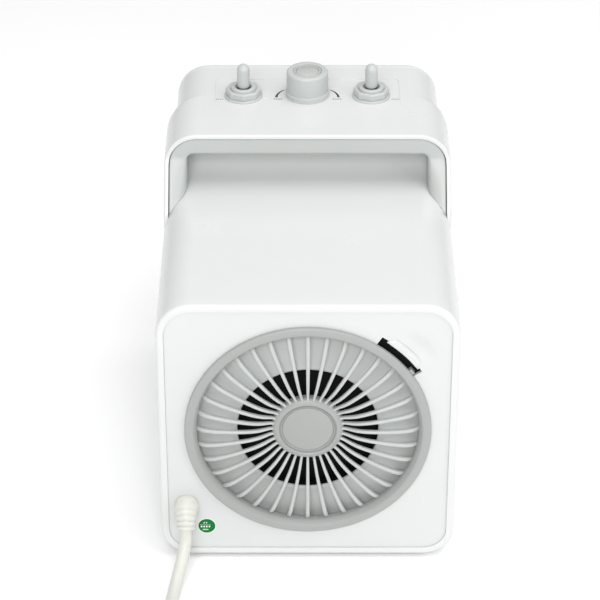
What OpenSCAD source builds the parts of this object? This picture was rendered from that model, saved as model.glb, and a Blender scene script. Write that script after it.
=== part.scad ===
// Ceramic space heater: rear intake grille, fan, ceramic element, front outlet, top handle and controls.
// +Y is the way the warm air leaves, +Z is up, and the origin is the middle of the footprint on the floor.

/* [Body] */
// Overall width of the housing
body_w = 190; // [180:1:200]
// Height of the main housing without its feet
body_h = 192; // [189:1:195]
// How far the handle and control deck rise above the main housing
deck_rise = 38; // [34:1:42]
// Overall depth, from the grille ring to the front frame
body_d = 257; // [253:1:261]
// Corner radius of the housing section
corner_r = 22; // [18:1:26]
// Wall thickness of the moulded shells
wall = 2.6; // [2:0.2:3]
// Width of the narrower front housing
front_w = 179; // [174:1:182]

/* [Handle] */
// Distance from the rear rim to the handle strap
strap_from_rim = 150.5; // [148:0.5:153]
// Length of the full-width band over the top, front to back
strap_len = 55.5; // [54:0.5:57]
// Depth of the finger recess under the handle
recess_depth = 30; // [28:1:32]
// Thickness of the grey liner under the strap
liner_t = 12; // [10:0.5:13]
// How far the feet of the handle legs reach back
leg_sweep = 24; // [20:1:26]
// Thickness of the white skin over the strap
strap_skin = 3; // [2.6:0.2:3.4]

/* [Rear grille] */
// Outer diameter of the grille ring
ring_d = 157; // [150:1:160]
// Height of the grille centre above the floor
grille_z = 100.7; // [99:0.1:103]
// Number of radial ribs
rib_count = 36; // [24:2:40]
// Diameter of the grille hub
hub_d = 46; // [42:1:50]
// Diameter of the dark intake opening
intake_d = 90; // [84:1:94]

/* [Controls] */
// Knob diameter
knob_d = 28.6; // [26:0.2:32]
// Knob height
knob_h = 18.6; // [17:0.2:20]
// Distance of each toggle from the centre line
toggle_x = 43.2; // [42:0.2:45]
// Lever diameter
lever_d = 8.6; // [8:0.2:9]
// Distance of the controls behind the front face
control_setback = 46; // [44:0.5:48]

/* [Fan and heater] */
// Impeller diameter
fan_d = 108; // [100:1:112]
// Number of fan blades
blade_count = 7; // [5:1:9]
// Width and height of the ceramic element
element_w = 112; // [100:2:116]

/* [Cord] */
// Cord diameter
cord_d = 8; // [7:0.5:8]
// Diameter of the stored coil, at the middle of its turns
coil_d = 92; // [88:1:96]

/* [Hidden] */

eps = 0.01;
foot_h = 3;
z_low = foot_h;
z_top = z_low + body_h;
z_deck = z_top + deck_rise;
ring_rise = 1.8;
y_rear = -body_d / 2 + ring_rise;
y_front = body_d / 2;
strap_y0 = y_rear + strap_from_rim;
strap_y1 = strap_y0 + strap_len;
recess_y = strap_y0 + recess_depth;
front_y1 = y_front - 5;
low_r = 20;
strap_r = 22;
gap_half = body_w / 2 - strap_skin - liner_t;
panel_y0 = y_rear + 1;
panel_t = 2.5;
control_y = y_front - control_setback;
recess = 0.6;
panel_w = 125;
panel_l = 41;
panel_back = 18.5;
white = "whitesmoke";
grey = "silver";

// rounded rectangle in X and Z, with true arcs, spanning x0..x1 and z0..z1
module rounded(x0, x1, z0, z1, r_top, r_bottom) {
    translate([x0, z0 + r_bottom]) square([x1 - x0, z1 - z0 - r_top - r_bottom]);
    translate([x0 + r_top, z1 - r_top - eps]) square([x1 - x0 - 2 * r_top, r_top + eps]);
    translate([x0 + r_bottom, z0]) square([x1 - x0 - 2 * r_bottom, r_bottom + eps]);
    for (s = [0, 1]) {
        translate([s == 0 ? x0 + r_top : x1 - r_top, z1 - r_top]) circle(r = r_top, $fn = 64);
        translate([s == 0 ? x0 + r_bottom : x1 - r_bottom, z0 + r_bottom]) circle(r = r_bottom, $fn = 64);
    }
}

// stands a shape drawn in X and Z up, from y0 to y1
module along_y(y0, y1) {
    translate([0, y1, 0]) rotate([90, 0, 0]) linear_extrude(height = y1 - y0) children();
}

module rod_y(d, y0, y1, x = 0, z = 0) {
    translate([x, y1, z]) rotate([90, 0, 0]) cylinder(d = d, h = y1 - y0, $fn = 96);
}

module body_section(inset = 0) {
    rounded(-body_w / 2 + inset, body_w / 2 - inset, z_low + inset, z_top - inset,
            corner_r - inset, low_r - inset);
}

module front_section(inset = 0) {
    rounded(-front_w / 2 + inset, front_w / 2 - inset, z_low + inset, z_deck - inset,
            strap_r - inset, low_r - inset);
}

// ---- shells ----
module rear_housing() {
    color(white) difference() {
        along_y(y_rear, strap_y1) body_section();
        along_y(y_rear - 1, strap_y1 + 1) body_section(wall);
        // underside opening that the base plate closes
        translate([-70, y_rear + 20, z_low - 1]) cube([140, strap_y1 - y_rear - 30, wall + 2]);
    }
}

module strap_section(inset) {
    rounded(-body_w / 2 + inset, body_w / 2 - inset, z_low + 120, z_deck - inset,
            strap_r - inset, 1);
}

module skin_section() {
    difference() {
        strap_section(0);
        strap_section(strap_skin);
        translate([-body_w / 2 - 1, z_low + 100])
            square([body_w + 2, z_top - corner_r - z_low - 100]);
        body_section();
    }
}

// wedge that sweeps the handle's legs back to their feet, seen from the side
module leg_sweep_wedge() {
    for (s = [-1, 1]) translate([s * body_w / 4, 0, 0]) rotate([90, 0, 90])
        linear_extrude(height = body_w / 2 + 2, center = true) polygon([
            [strap_y0 + 1, z_top + 21], [strap_y0 - leg_sweep, z_top - 9],
            [strap_y0 - leg_sweep, z_top - 25], [strap_y0 + 1, z_top - 25]
        ]);
}

// front housing, handle skin and control deck are one moulding
module front_shell() {
    color(white) difference() {
        union() {
            along_y(strap_y0, strap_y1) skin_section();
            intersection() {
                along_y(strap_y0 - leg_sweep, strap_y0 + 1) skin_section();
                leg_sweep_wedge();
            }
            // back wall of the finger recess
            along_y(recess_y, recess_y + wall) difference() {
                strap_section(strap_skin - eps);
                translate([-body_w / 2, z_low + 100]) square([body_w, z_top + 0.2 - z_low - 100]);
                body_section();
            }
            along_y(strap_y1, front_y1) difference() {
                front_section();
                front_section(wall);
            }
            // step between the full-width band and the narrower front
            along_y(strap_y1 - wall, strap_y1) difference() {
                strap_section(strap_skin - eps);
                rounded(-front_w / 2 + wall, front_w / 2 - wall, z_low + 100, z_deck - wall, strap_r - wall, 1);
                body_section();
            }
        }
        // seat of the control panel
        translate([-panel_w / 2, control_y - panel_back, z_deck - strap_skin - 1])
            cube([panel_w, panel_l, strap_skin + 2]);
    }
}

module liner_section() {
    difference() {
        strap_section(strap_skin);
        rounded(-gap_half, gap_half, z_low + 110, z_deck - strap_skin - liner_t, 9, 1);
        body_section();
    }
}

module handle_liner() {
    color(grey) {
        along_y(strap_y0 + 1, recess_y) liner_section();
        intersection() {
            along_y(strap_y0 - leg_sweep, strap_y0 + 2) liner_section();
            translate([0, 1, 0]) leg_sweep_wedge();
        }
    }
}

module control_panel() {
    color(white) difference() {
        translate([-panel_w / 2, control_y - panel_back, z_deck - strap_skin])
            cube([panel_w, panel_l, strap_skin - recess]);
        translate([0, control_y, z_deck - 5]) cylinder(d = 8, h = 10, $fn = 48);
        for (s = [-1, 1]) translate([s * toggle_x, toggle_y, z_deck - 5])
            cylinder(d = 12.2, h = 10, $fn = 48);
    }
}

// ---- rear panel, intake and grille ----
gland_x = -78.5;
gland_z = 42.3;
slot_in = ring_d / 2 - 0.5;
slot_out = slot_in + 5;
tab_in = slot_out + 1;
tab_out = tab_in + 6;
tab_mid = 46;

// part of a ring about the grille axis, between two angles measured from the top towards +X
module arc_band(r0, r1, a0, a1, y0, y1) {
    translate([0, y1, grille_z]) rotate([90, 0, 0]) rotate([0, 0, 90 - a1])
        rotate_extrude(angle = a1 - a0, $fn = 128) translate([r0, 0]) square([r1 - r0, y1 - y0]);
}

module rear_panel() {
    color(white) difference() {
        along_y(panel_y0, panel_y0 + panel_t) body_section(wall + 0.4);
        rod_y(ring_d - 9, panel_y0 - 1, panel_y0 + panel_t + 1, 0, grille_z);
        arc_band(slot_in, slot_out, 33, 58, panel_y0 - 1, panel_y0 + panel_t + 1);
        arc_band(stem_in - 0.6, stem_in + 5.4, tab_mid - stem_a - 1, tab_mid + stem_a + 1,
                 panel_y0 - 1, panel_y0 + panel_t + 1);
        rod_y(11, panel_y0 - 1, panel_y0 + panel_t + 1, gland_x, gland_z);
    }
}

// bell mouth: a moat behind the grille ring rises to the lip of the intake opening
module inlet_funnel() {
    color("gainsboro") translate([0, y_rear, grille_z]) rotate([-90, 0, 0])
        rotate_extrude($fn = 128) polygon([
            [intake_d / 2 - 0.2, 3.6], [intake_d / 2 + 0.3, 2.9], [intake_d / 2 + 1.6, 2.7],
            [intake_d / 2 + 5, 3.4], [intake_d / 2 + 13, 5.4], [intake_d / 2 + 21, 7.6],
            [ring_d / 2 - 6.5, 9], [ring_d / 2 - 4.3, 9], [ring_d / 2 - 4.3, 3.5],
            [ring_d / 2 - 1.5, 3.5], [ring_d / 2 - 1.5, 5.3], [ring_d / 2 - 2.5, 5.3],
            [ring_d / 2 - 2.5, 10.8], [ring_d / 2 - 6.5, 10.8], [intake_d / 2 + 13, 7.2],
            [intake_d / 2 + 1.8, 4.6], [intake_d / 2 + 1.6, 11.5], [intake_d / 2 - 0.2, 11.5]
        ]);
}

module filter_mesh() {
    color("black") rod_y(intake_d + 4, panel_y0 + panel_t + 8, panel_y0 + panel_t + 9.5, 0, grille_z);
}

ring_y0 = y_rear - ring_rise;
ring_y1 = panel_y0 - 0.3;
rib_in = hub_d / 2 - 3;
rib_out = ring_d / 2 - 7;
hub_y0 = y_rear + 1.9;
// ring, ribs and hub are one moulding
module rear_grille() {
    color(grey) {
        translate([0, ring_y0, grille_z]) rotate([-90, 0, 0]) rotate_extrude($fn = 160) polygon([
            [ring_d / 2 - 7.4, 1.8], [ring_d / 2 - 6, 0.4], [ring_d / 2 - 5.2, 0], [ring_d / 2 - 1.2, 0],
            [ring_d / 2, 1.2], [ring_d / 2, ring_y1 - ring_y0], [ring_d / 2 - 5.3, ring_y1 - ring_y0],
            [ring_d / 2 - 5.3, 7.6], [ring_d / 2 - 7.9, 7.6]
        ]);
        for (i = [0:rib_count - 1])
            translate([0, ring_y0, grille_z]) rotate([0, i * 360 / rib_count, 0]) rotate([90, 0, 90])
                linear_extrude(height = 2.2, center = true) polygon([
                    [4.6, rib_in], [4.2, 24], [2.6, 28], [1, 33], [0.2, 40], [0.2, 54], [0.5, 60],
                    [1.6, 66], [3.6, 70], [5.2, rib_out], [7.4, rib_out], [4.4, 66], [3, 60],
                    [2.6, 54], [2.6, 40], [5, 28], [6.4, 24], [6.6, rib_in]
                ]);
        translate([0, hub_y0, grille_z]) rotate([-90, 0, 0]) rotate_extrude($fn = 128) polygon([
            [0, 1.2], [hub_d / 2 - 5.2, 1.2], [hub_d / 2 - 4.6, 0.6], [hub_d / 2 - 3.6, 0],
            [hub_d / 2 - 2.4, 0.3], [hub_d / 2, 2.2], [hub_d / 2, 4.4], [hub_d / 2 - 4, 4.8], [0, 4.8]
        ]);
        // locking lug that rides in the slot
        arc_band(ring_d / 2 - 2, slot_out - 1, 53.5, 57, ring_y1 - 1, ring_y1);
        arc_band(slot_in + 0.5, slot_out - 1, 53.5, 57, ring_y1 - 0.5, ring_y1 + 3);
    }
}

module hub_disc() {
    color("darkgrey") rod_y(hub_d - 12, hub_y0 + 0.5, hub_y0 + 1.2, 0, grille_z);
}

stem_in = tab_in + 2;
stem_a = 3;
module latch_tab() {
    color(white) {
        arc_band(tab_in, tab_out, tab_mid - 10, tab_mid + 10, panel_y0 - 1.9, panel_y0 - 0.3);
        arc_band(stem_in, stem_in + 2, tab_mid - stem_a, tab_mid + stem_a, panel_y0 - 1, panel_y0 + panel_t + 3);
    }
}

module qc_sticker() {
    color("green") rod_y(12, panel_y0 - 0.15, panel_y0 - 0.02, -65.7, 25.4);
}

// ---- front frame and outlet ----
outlet_w = 142;
outlet_z0 = 26;
outlet_z1 = 172;
module front_bezel() {
    color(white) difference() {
        union() {
            along_y(front_y1, y_front - 1.5) front_section();
            along_y(y_front - 1.5, y_front) front_section(1.5);
        }
        along_y(front_y1 - 1, y_front + 1)
            rounded(-outlet_w / 2, outlet_w / 2, outlet_z0, outlet_z1, 14, 14);
    }
}

slat_count = 15;
module outlet_grille() {
    color("dimgray") {
        along_y(front_y1 - 12, front_y1) difference() {
            rounded(-outlet_w / 2 - 3, outlet_w / 2 + 3, outlet_z0 - 3, outlet_z1 + 3, 16, 16);
            rounded(-outlet_w / 2 + 1, outlet_w / 2 - 1, outlet_z0 + 1, outlet_z1 - 1, 13, 13);
        }
        for (i = [1:slat_count])
            translate([-outlet_w / 2 + 0.5, front_y1 - 10, outlet_z0 + i * (outlet_z1 - outlet_z0) / (slat_count + 1)])
                rotate([12, 0, 0]) cube([outlet_w - 1, 9, 1.6]);
        for (x = [-36, 0, 36])
            translate([x - 1, front_y1 - 11.5, outlet_z0]) cube([2, 3, outlet_z1 - outlet_z0]);
    }
}

// ---- underside ----
foot_x = 64;
module base_plate() {
    color(white) difference() {
        translate([-70, y_rear + 20, z_low]) cube([140, strap_y1 - y_rear - 30, 2.4]);
        translate([0, 0, z_low - 1]) cylinder(d = 9, h = 5, $fn = 48);
        for (x = [-60, 60], y = [y_rear + 50, strap_y1 - 40])
            translate([x, y, z_low - 1]) cylinder(d = 3.4, h = 5, $fn = 32);
    }
}

module feet() {
    color("dimgray") for (x = [-foot_x, foot_x], y = [y_rear + 30, y_front - 32])
        translate([x, y, 0]) {
            cylinder(d1 = 13, d2 = 15, h = 1, $fn = 48);
            translate([0, 0, 1]) cylinder(d = 15, h = foot_h - 1, $fn = 48);
        }
}

module base_screws() {
    color("silver") for (x = [-60, 60], y = [y_rear + 50, strap_y1 - 40])
        translate([x, y, 0]) {
            translate([0, 0, z_low - 1.4]) cylinder(d = 6, h = 1.4, $fn = 32);
            translate([0, 0, z_low - 0.2]) cylinder(d = 3.36, h = 8, $fn = 32);
        }
}

module tipover_housing() {
    color("dimgray") difference() {
        translate([-12, -8, z_low + 2.4]) cube([24, 16, 22]);
        translate([0, 0, z_low]) cylinder(d = 7.2, h = 18, $fn = 48);
    }
}

module tipover_plunger() {
    color("red") {
        translate([0, 0, 0.4]) cylinder(d = 7, h = 16, $fn = 48);
    }
}

// ---- fan ----
motor_y0 = -60;
motor_y1 = -18;
fan_y = -78;
module fan_shroud() {
    color("dimgray") difference() {
        union() {
            rod_y(fan_d + 14, -100, -30, 0, grille_z);
            along_y(-100, -97) body_section(wall);
        }
        rod_y(fan_d + 8, -101, -29, 0, grille_z);
    }
}

module motor_bracket() {
    color("gray") difference() {
        union() {
            rod_y(46, -26, -22, 0, grille_z);
            for (a = [30, 150, 270]) translate([0, -26, grille_z]) rotate([0, a, 0])
                translate([18, 0, -5]) cube([fan_d / 2 + 4 - 0.3 - 18, 4, 10]);
        }
        rod_y(38.1, -27, -21, 0, grille_z);
    }
}

module bracket_screws() {
    color("silver") for (a = [30, 150, 270]) translate([0, -22, grille_z]) rotate([0, a, 0])
        translate([fan_d / 2 - 2, 0, 0]) rotate([-90, 0, 0]) cylinder(d = 5, h = 2, $fn = 32);
}

module motor() {
    color("silver") difference() {
        union() {
            rod_y(38, motor_y0, motor_y1, 0, grille_z);
            rod_y(14, motor_y0 - 3, motor_y0 + 1, 0, grille_z);
        }
        rod_y(5.1, motor_y0 - 4, motor_y0 + 20, 0, grille_z);
    }
}

module motor_shaft() {
    color("lightgray") rod_y(5, fan_y - 8, motor_y0 + 18, 0, grille_z);
}

module fan_impeller() {
    color("darkslategray") difference() {
        union() {
            rod_y(34, fan_y - 10, fan_y + 10, 0, grille_z);
            for (i = [0:blade_count - 1]) translate([0, fan_y, grille_z]) rotate([0, i * 360 / blade_count, 0])
                rotate([0, 0, 28]) translate([-12, -1, 12]) cube([24, 2, fan_d / 2 - 13]);
        }
        rod_y(5, fan_y - 11, fan_y + 11, 0, grille_z);
        rod_y(28, fan_y, fan_y + 11, 0, grille_z);
    }
}

// ---- ceramic element ----
element_y0 = 20;
element_y1 = 46;
module heater_duct() {
    color("dimgray") along_y(-14, 100) difference() {
        rounded(-element_w / 2 - 9, element_w / 2 + 9, grille_z - element_w / 2 - 9, grille_z + element_w / 2 + 9, 8, 8);
        rounded(-element_w / 2 - 6, element_w / 2 + 6, grille_z - element_w / 2 - 6, grille_z + element_w / 2 + 6, 6, 6);
    }
}

module element_frame() {
    color("tan") along_y(element_y0, element_y1) difference() {
        rounded(-element_w / 2 - 6, element_w / 2 + 6, grille_z - element_w / 2 - 6,
                grille_z + element_w / 2 + 6, 6, 6);
        translate([-element_w / 2, grille_z - element_w / 2]) square([element_w, element_w]);
    }
}

bar_count = 5;
bar_pitch = element_w / bar_count;
module ceramic_bars() {
    color("beige") for (i = [0:bar_count - 1])
        translate([-element_w / 2, element_y0 + 5, grille_z - element_w / 2 + (i + 0.5) * bar_pitch - 1.5])
            cube([element_w, 15, 3]);
}

fin_pitch = 8;
module radiator_fins() {
    color("silver") for (i = [0:bar_count - 1]) {
        z_bar = grille_z - element_w / 2 + (i + 0.5) * bar_pitch;
        for (s = [-1, 1]) for (x = [-element_w / 2 + fin_pitch:fin_pitch:element_w / 2 - fin_pitch / 2])
            translate([x - 0.3, element_y0 + 5, z_bar + (s > 0 ? 1.5 : -bar_pitch / 2 + 0.4)])
                cube([0.6, 15, bar_pitch / 2 - 1.9]);
    }
}

module thermal_cutouts() {
    color("silver") for (x = [-24, 24]) {
        translate([x, 64, grille_z + element_w / 2 + 9]) cylinder(d = 15, h = 8, $fn = 48);
        translate([x - 12, 61, grille_z + element_w / 2 + 9]) cube([24, 6, 1]);
    }
}

// ---- controls ----
module thermostat() {
    color("tan") difference() {
        union() {
            translate([-12, control_y - 12, z_deck - strap_skin - 22]) cube([24, 24, 20]);
            translate([0, control_y, z_deck - strap_skin - 2.1]) cylinder(d = 14, h = 2.1, $fn = 48);
        }
        translate([0, control_y, z_deck - strap_skin - 12]) cylinder(d = 6.1, h = 20, $fn = 48);
    }
}

module thermostat_shaft() {
    color("silver") translate([0, control_y, z_deck - strap_skin - 10]) cylinder(d = 6, h = 22.4, $fn = 48);
}

knob_z0 = z_deck - recess + 0.3;
module knob() {
    color(grey) difference() {
        translate([0, control_y, knob_z0]) rotate_extrude($fn = 96) polygon([
            [0, 0], [knob_d / 2 + 0.4, 0], [knob_d / 2 + 0.4, 2.4], [knob_d / 2, 3.2], [knob_d / 2, knob_h - 1.8],
            [knob_d / 2 - 1.8, knob_h], [knob_d / 2 - 4.2, knob_h], [knob_d / 2 - 4.2, knob_h - 1], [0, knob_h - 1]
        ]);
        translate([0, control_y, knob_z0 - 1]) cylinder(d = 6, h = 11, $fn = 48);
        translate([-0.6, control_y + knob_d / 2 - 1, knob_z0 + 4]) cube([1.2, 3, knob_h]);
    }
}

module knob_disc() {
    color("darkgrey") translate([0, control_y, knob_z0 + knob_h - 1]) cylinder(d = knob_d - 10.4, h = 0.7, $fn = 64);
}

toggle_y = control_y - 1.8;
pivot_z = z_deck + 2.5;
module toggle_body(s) {
    color("dimgray") translate([s * toggle_x, toggle_y, 0]) difference() {
        union() {
            translate([-8, -8, z_deck - strap_skin - 22]) cube([16, 16, 22]);
            translate([0, 0, z_deck - strap_skin - 0.1]) cylinder(d = 12, h = 8.4, $fn = 64);
        }
        translate([0, 0, z_deck - strap_skin - 12]) cylinder(d = 9.6, h = 30, $fn = 64);
    }
}

module toggle_collar(s) {
    color(grey) translate([s * toggle_x, toggle_y, z_deck - recess]) difference() {
        union() {
            cylinder(d = 25.6, h = 2.2, $fn = 96);
            translate([0, 0, 2.2]) cylinder(d = 24.4, h = 4.6, $fn = 8);
            translate([0, 0, 6.8]) cylinder(d = 17, h = 1.4, $fn = 64);
        }
        translate([0, 0, -1]) cylinder(d = 12.02, h = 12, $fn = 64);
    }
}

module toggle_lever(s) {
    color(grey) translate([s * toggle_x, toggle_y, pivot_z]) {
        translate([0, 0, -8]) cylinder(d1 = 4.8, d2 = 5.4, h = 11, $fn = 64);
        translate([0, 0, 3]) cylinder(d1 = 5.4, d2 = lever_d, h = 2, $fn = 64);
        translate([0, 0, 5]) cylinder(d = lever_d, h = 11.9, $fn = 64);
        translate([0, 0, 16.9]) sphere(d = lever_d, $fn = 64);
        translate([0, 4.6, 0]) rotate([90, 0, 0]) cylinder(d = 3, h = 9.2, $fn = 32);
    }
}

module toggle_body_left() toggle_body(-1);
module toggle_body_right() toggle_body(1);
module toggle_collar_left() toggle_collar(-1);
module toggle_collar_right() toggle_collar(1);
module toggle_lever_left() toggle_lever(-1);
module toggle_lever_right() toggle_lever(1);

board_z = grille_z + element_w / 2 + 9;
module circuit_board() {
    color("darkgreen") {
        translate([-62, -12, board_z]) cube([60, 50, 1.6]);
        translate([-50, 0, board_z + 1.5]) cube([14, 14, 8]);
        translate([-22, 10, board_z + 1.5]) cylinder(d = 9, h = 8, $fn = 32);
    }
}

module terminal_block() {
    color("white") difference() {
        translate([gland_x - 4, -97, gland_z - 10]) cube([12, 30, 16]);
        for (i = [0:2]) translate([gland_x - 5, -92 + i * 10, gland_z - 2])
            rotate([0, 90, 0]) cylinder(d = 4, h = 14, $fn = 32);
    }
}

// ---- cord ----
module strain_relief() {
    color("lightgrey") {
        rod_y(10.9, panel_y0 - 0.5, panel_y0 + panel_t + 8, gland_x, gland_z);
        translate([gland_x, panel_y0, gland_z]) rotate([90, 0, 0]) rotate_extrude($fn = 64) polygon([
            [0, 0], [8.2, 0], [8.2, 1.5], [7.8, 4], [6.4, 7], [0, 7]
        ]);
        // elbow that turns down towards the floor
        for (i = [0:6]) let (a = i * 11, p = relief_point(a), q = relief_point(a + 11))
            translate(p) rotate([90 - a - 5.5 + 180, 0, 0])
                cylinder(d1 = 12 - i * 0.35, d2 = 11.2 - i * 0.35, h = norm(q - p) + 0.3, $fn = 48);
    }
}
relief_r = 11;
relief_y = panel_y0 - 3.6;
function relief_point(a) = [gland_x, relief_y - relief_r * sin(a), gland_z - relief_r * (1 - cos(a))];

// hand-chosen route of the free cord, from the strain relief to the coil
cord_route = [
    [-78.5, -139.7, 34.4], [-78.8, -142, 26.2], [-80.2, -146.5, 18.7], [-82, -152, 13], [-83.8, -158.6, 8.6],
    [-85.4, -166.6, 5.4], [-86.9, -176.4, 4.1], [-88.6, -191.5, 4.1], [-90.6, -209.5, 4.1], [-92.4, -229.5, 4.1],
    [-94, -251.5, 4.1], [-94.9, -272.5, 4.1], [-95.1, -292.7, 4.1]
];
// short lead from the top turn of the coil down to the plug
plug_lead = [
    [5.1, -296.7, 20.3], [5.2, -288.7, 19.6], [6, -276.7, 16.6], [7, -264.7, 12.4], [8, -254.7, 9.6],
    [9, -247.7, 8.8]
];
cord_sides = 8;
function unit(v) = v / norm(v);
function tangent(pts, i) = unit(pts[min(i + 1, len(pts) - 1)] - pts[max(i - 1, 0)]);
function ring_at(pts, i, r) = let (t = tangent(pts, i), u = unit(cross(t, [1, 0.2, 0.1])), v = cross(t, u))
    [for (k = [0:cord_sides - 1]) pts[i] + r * (u * cos(360 * k / cord_sides) + v * sin(360 * k / cord_sides))];
module tube_along(pts, d) {
    n = len(pts);
    verts = [for (i = [0:n - 1]) each ring_at(pts, i, d / 2)];
    sides = [for (i = [0:n - 2], k = [0:cord_sides - 1])
        let (a = i * cord_sides + k, b = i * cord_sides + (k + 1) % cord_sides)
        [a, b, b + cord_sides, a + cord_sides]];
    first = [for (k = [cord_sides - 1:-1:0]) k];
    last = [for (k = [0:cord_sides - 1]) (n - 1) * cord_sides + k];
    polyhedron(verts, concat([first], sides, [last]));
}

module cord() {
    color("lightgrey") {
        tube_along(cord_route, cord_d);
        tube_along(plug_lead, cord_d);
    }
}

coil_at = [-45, -296.7];
coil_w = 2 * cord_d + 0.6;
coil_h = 3 * cord_d;
module cord_coil() {
    color("lightgrey") translate([coil_at[0], coil_at[1], 0.05]) rotate_extrude($fn = 96)
        translate([coil_d / 2, coil_h / 2]) rounded(-coil_w / 2, coil_w / 2, -coil_h / 2, coil_h / 2, 3.6, 3.6);
}

module coil_tie() {
    color("dimgray") translate([coil_at[0], coil_at[1] - coil_d / 2, coil_h / 2 + 0.05]) difference() {
        cube([6, coil_w + 2.4, coil_h + 0.08], center = true);
        cube([7, coil_w + 0.02, coil_h - 1.2], center = true);
    }
}

plug_at = [9, -227.7, 0];
module plug_body() {
    color("lightgrey") translate(plug_at) hull() {
        translate([-12, -14, 0.1]) cube([24, 22, 17]);
        translate([-8, -20.5, 1.5]) cube([16, 34, 14]);
    }
}

module plug_pins() {
    color("silver") translate(plug_at) for (x = [-6.35, 6.35])
        translate([x - 0.75, 13.5, 6]) cube([1.5, 16, 6.3]);
}

rear_housing();
front_shell();
handle_liner();
control_panel();
rear_panel();
inlet_funnel();
filter_mesh();
rear_grille();
hub_disc();
latch_tab();
front_bezel();
outlet_grille();
base_plate();
feet();
base_screws();
tipover_housing();
tipover_plunger();
fan_shroud();
motor_bracket();
motor();
motor_shaft();
fan_impeller();
bracket_screws();
heater_duct();
element_frame();
ceramic_bars();
radiator_fins();
thermal_cutouts();
thermostat();
thermostat_shaft();
knob();
knob_disc();
toggle_body_left();
toggle_collar_left();
toggle_lever_left();
toggle_body_right();
toggle_collar_right();
toggle_lever_right();
circuit_board();
terminal_block();
qc_sticker();
strain_relief();
cord();
cord_coil();
coil_tie();
plug_body();
plug_pins();
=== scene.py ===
import math

import bmesh
import bpy
from mathutils import Matrix, Vector


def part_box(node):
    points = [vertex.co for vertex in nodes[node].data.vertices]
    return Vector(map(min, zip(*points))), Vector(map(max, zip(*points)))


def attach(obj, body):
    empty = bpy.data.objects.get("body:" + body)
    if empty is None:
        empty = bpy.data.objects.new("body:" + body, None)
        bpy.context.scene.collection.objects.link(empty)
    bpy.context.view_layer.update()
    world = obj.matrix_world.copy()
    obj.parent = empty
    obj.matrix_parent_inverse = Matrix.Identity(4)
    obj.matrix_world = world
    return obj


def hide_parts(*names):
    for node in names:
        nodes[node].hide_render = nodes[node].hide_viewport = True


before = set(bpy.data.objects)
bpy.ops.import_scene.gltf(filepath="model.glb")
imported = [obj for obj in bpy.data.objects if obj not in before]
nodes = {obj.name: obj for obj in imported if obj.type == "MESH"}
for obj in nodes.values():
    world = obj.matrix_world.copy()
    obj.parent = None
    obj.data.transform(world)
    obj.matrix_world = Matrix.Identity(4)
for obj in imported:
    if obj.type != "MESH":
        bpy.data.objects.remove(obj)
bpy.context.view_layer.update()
mm = 0.001
axisGap = 0.0005  # mm; a turned profile ends this close to its axis

# places that the CAD frame gives, in metres
housingLow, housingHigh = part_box("rear_housing")
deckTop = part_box("front_shell")[1].z
linerLow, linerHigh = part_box("handle_liner")
bezelLow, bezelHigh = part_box("front_bezel")
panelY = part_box("rear_panel")[0].y
hubLow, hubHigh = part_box("hub_disc")
rearY = housingLow.y
halfWidth = housingHigh.x
floorToBody = housingLow.z
bodyTop = housingHigh.z
legReach = 23 * mm  # how far the liner's feet stand behind the handle's rear edge
strapRearY = linerLow.y + legReach
deckPanelLow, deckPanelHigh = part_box("control_panel")
grilleZ = (hubLow.z + hubHigh.z) / 2
print("frame: housing %.3f wide, deck top at %.3f" % (2 * halfWidth, deckTop))


# camera, looking down at the back
cameraSetup = {
    "lens": 154.5,          # long lens on a 36 mm sensor
    "pitch": 32.0,          # degrees below level
    "distance": 1.636,      # along the view to the middle of the rear grille
    "right": 0.0050,        # how far the heater stands right of the view's middle
    "low": 0.0818,          # how far the aim on the back panel lies below it
    "aim": 0.103,           # height of that aim
}


def placeCamera(setup):
    pitch = math.radians(setup["pitch"])
    ahead = Vector((0, math.cos(pitch), -math.sin(pitch)))
    up = Vector((0, math.sin(pitch), math.cos(pitch)))
    target = Vector((0, rearY, setup["aim"]))
    camera = bpy.data.objects.new("camera", bpy.data.cameras.new("camera"))
    camera.data.lens = setup["lens"]
    camera.data.sensor_width = 36
    camera.location = target - ahead * setup["distance"] + up * setup["low"] - Vector((setup["right"], 0, 0))
    camera.rotation_euler = (math.pi / 2 - pitch, 0, 0)
    bpy.context.scene.collection.objects.link(camera)
    bpy.context.scene.camera = camera


placeCamera(cameraSetup)
print("camera placed")


# materials
def linear(hexColour):
    channels = [int(hexColour[i:i + 2], 16) / 255 for i in (1, 3, 5)]
    return [c / 12.92 if c <= 0.04045 else ((c + 0.055) / 1.055) ** 2.4 for c in channels] + [1.0]


def addNode(tree, kind, settings=None, inputs=None):
    node = tree.nodes.new(kind)
    for name, value in (settings or {}).items():
        setattr(node, name, value)
    for name, value in (inputs or {}).items():
        if isinstance(value, bpy.types.NodeSocket):
            tree.links.new(value, node.inputs[name])
        else:
            node.inputs[name].default_value = value
    return node


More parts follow.
